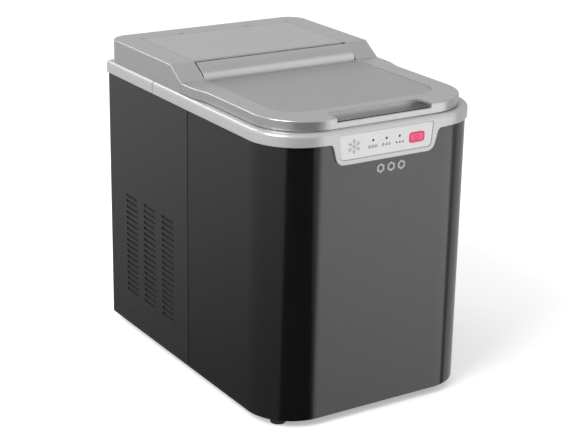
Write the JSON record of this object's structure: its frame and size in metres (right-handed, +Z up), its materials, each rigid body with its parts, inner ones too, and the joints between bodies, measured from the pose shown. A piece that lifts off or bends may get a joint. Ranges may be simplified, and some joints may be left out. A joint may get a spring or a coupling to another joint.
{
  "type": "ice maker",
  "caption": "Countertop bullet ice maker: black wrapped-steel body, silver hump and hinged lid, light rim with a control plate, ice basket and refrigeration parts inside.",
  "frame": {"origin": "on the table, under the middle of the whole machine", "axes": "+Z up, -Y towards the user at the control side, +X to the right seen from the front"},
  "size_m": [0.242, 0.355, 0.321],
  "materials": {
    "black_paint": "satin black powder coat",
    "galvanised": "galvanised sheet",
    "rubber": "matt",
    "black_plastic": "fine grain",
    "rim_grey": "smooth light grey",
    "silver_plastic": "metallic silver paint, satin",
    "silver_panel": "metallic silver paint, satin",
    "inset_grey": "metallic grey, fine grain",
    "white_plastic": "smooth",
    "control_white": "semi-gloss overlay",
    "button_pink": "soft gloss",
    "lens_smoke": "smoked clear",
    "board_green": "solder mask",
    "emblem_silver": "bright",
    "foam": "expanded foam",
    "basket_grey": "translucent grey",
    "bright_steel": "bright zinc",
    "motor_grey": "zinc plated",
    "sensor_black": "infra-red window",
    "plated_copper": "nickel plated",
    "copper": "bare copper",
    "hose_clear": "milky silicone",
    "compressor_black": "gloss black",
    "fin_aluminium": "bare",
    "float_white": "foamed"
  },
  "bodies": {
    "casing": {"front_panel": "black_paint", "left_side_panel": "black_paint", "right_side_panel": "black_paint", "back_panel": "black_paint", "cord_gland": "black_plastic", "back_screws": "bright_steel", "base_pan": "galvanised", "feet": "rubber", "drain_tube": "hose_clear", "front_rim": "rim_grey", "rear_rim": "rim_grey", "rear_cover": "silver_plastic", "cover_panel": "silver_panel", "hinge_pins": "bright_steel", "control_plate": "control_white", "status_lenses": "lens_smoke", "control_board": "board_green", "front_emblem": "emblem_silver", "inner_tank": "white_plastic", "tank_insulation": "foam", "ice_chute": "white_plastic", "tray_motor": "motor_grey", "evaporator": "plated_copper", "evaporator_bracket": "white_plastic", "water_pump": "motor_grey", "water_hose": "hose_clear", "float_stem": "white_plastic", "ice_full_sensors": "sensor_black", "compressor": "compressor_black", "compressor_grommets": "rubber", "condenser": "fin_aluminium", "fan_shroud": "galvanised", "fan_motor": "black_plastic", "filter_drier": "copper", "discharge_line": "copper", "liquid_line": "copper", "feed_line": "copper", "suction_line": "copper", "control_box": "white_plastic", "power_board": "board_green"},
    "lid": {"lid": "silver_plastic", "lid_inset": "inset_grey", "lid_liner": "white_plastic"},
    "button": {"power_button": "button_pink"},
    "fan": {"fan_blade": "black_plastic"},
    "tray": {"water_tray": "white_plastic", "tray_shaft": "bright_steel"},
    "shovel": {"ice_shovel": "basket_grey"},
    "basket": {"ice_basket": "basket_grey"},
    "float": {"level_float": "float_white"},
    "drain_cap": {"drain_cap": "rubber"}
  },
  "joints": [
    {"name": "lid_hinge", "type": "hinge", "parent": "casing", "child": "lid", "pos_m": [0, 0.026, 0.303], "axis": [-1, 0, 0], "range_deg": [0, 98]},
    {"name": "power_button_press", "type": "slide", "parent": "casing", "child": "button", "axis": [0, 1, 0], "range_m": [0, 0.0008], "stiffness_N_per_m": 1500},
    {"name": "fan_spin", "type": "hinge", "parent": "casing", "child": "fan", "pos_m": [-0.071, 0.104, 0.096], "axis": [1, 0, 0], "continuous": true},
    {"name": "tray_tilt", "type": "hinge", "parent": "casing", "child": "tray", "pos_m": [0, 0, 0.246], "axis": [1, 0, 0], "range_deg": [0, 90]},
    {"name": "shovel_swing", "type": "hinge", "parent": "casing", "child": "shovel", "pos_m": [0, 0, 0.246], "axis": [1, 0, 0], "range_deg": [0, 64]},
    {"name": "basket_lift", "type": "slide", "parent": "casing", "child": "basket", "axis": [0, 0, 1], "range_m": [0, 0.008]},
    {"name": "float_rise", "type": "slide", "parent": "casing", "child": "float", "axis": [0, 0, 1], "range_m": [0, 0.02]},
    {"name": "drain_cap_turn", "type": "hinge", "parent": "casing", "child": "drain_cap", "pos_m": [-0.045, -0.1, 0.006], "axis": [0, 0, 1], "range_deg": [0, 90]}
  ],
  "couplings": [
    {"joint": "shovel_swing", "follows": "tray_tilt", "ratio": 0.7}
  ]
}
